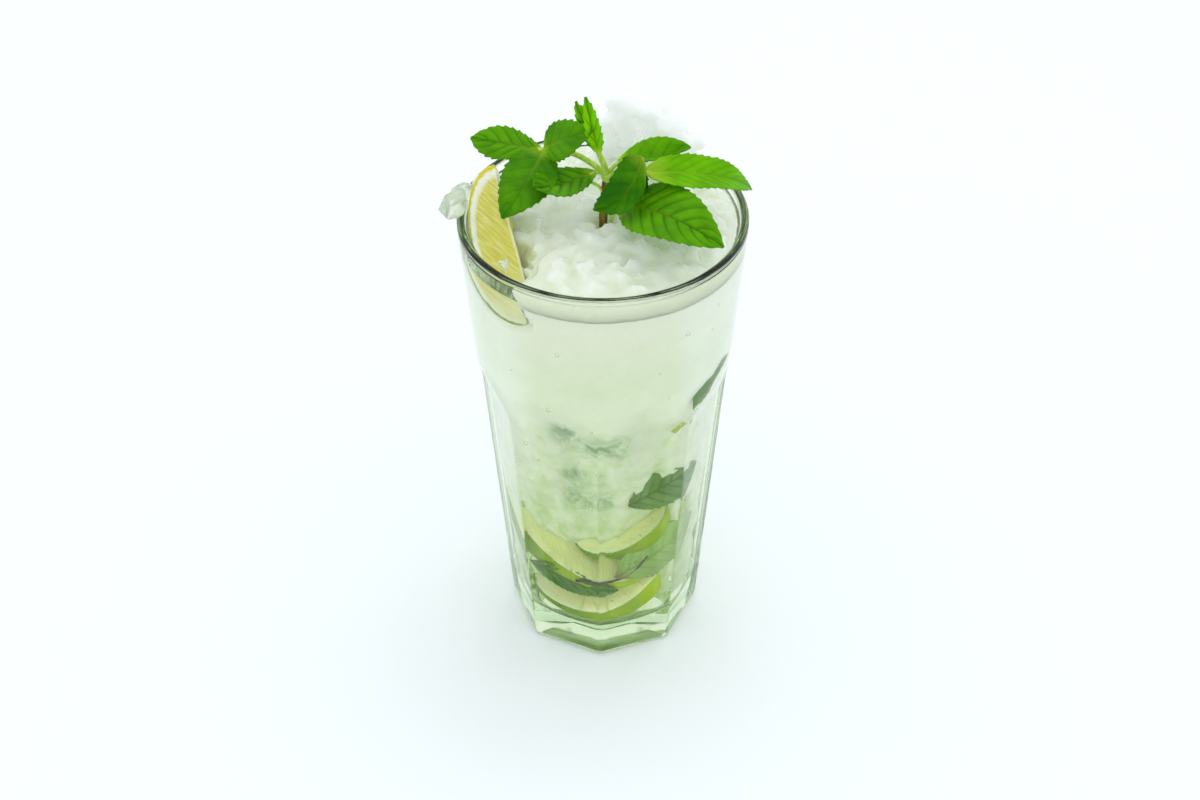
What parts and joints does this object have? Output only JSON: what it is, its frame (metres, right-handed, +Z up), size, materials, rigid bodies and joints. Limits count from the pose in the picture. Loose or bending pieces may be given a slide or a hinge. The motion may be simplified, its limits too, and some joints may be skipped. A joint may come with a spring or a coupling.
{
  "type": "mint and lime long drink",
  "caption": "Tall faceted glass tumbler of pale lime drink, heaped with crushed ice, with a lime wedge and a mint sprig on top.",
  "frame": {"origin": "centre of the underside of the tumbler, where it rests", "axes": "+Z up along the tumbler's axis; -Y towards the viewer, with the lime wedge at -X"},
  "size_m": [0.0934, 0.0868, 0.1972],
  "materials": {
    "clear_glass": "clear pressed glass with a faint green edge",
    "lime_drink": "cloudy pale green liquid with ice in it",
    "ice": "wet crushed ice",
    "lime": "yellow flesh, white pith and green peel",
    "mint": "fresh green leaves"
  },
  "bodies": {
    "root": {"glass": "clear_glass", "drink": "lime_drink", "crushed_ice": "ice", "lime_wedge": "lime", "mint_sprig": "mint"}
  },
  "joints": []
}
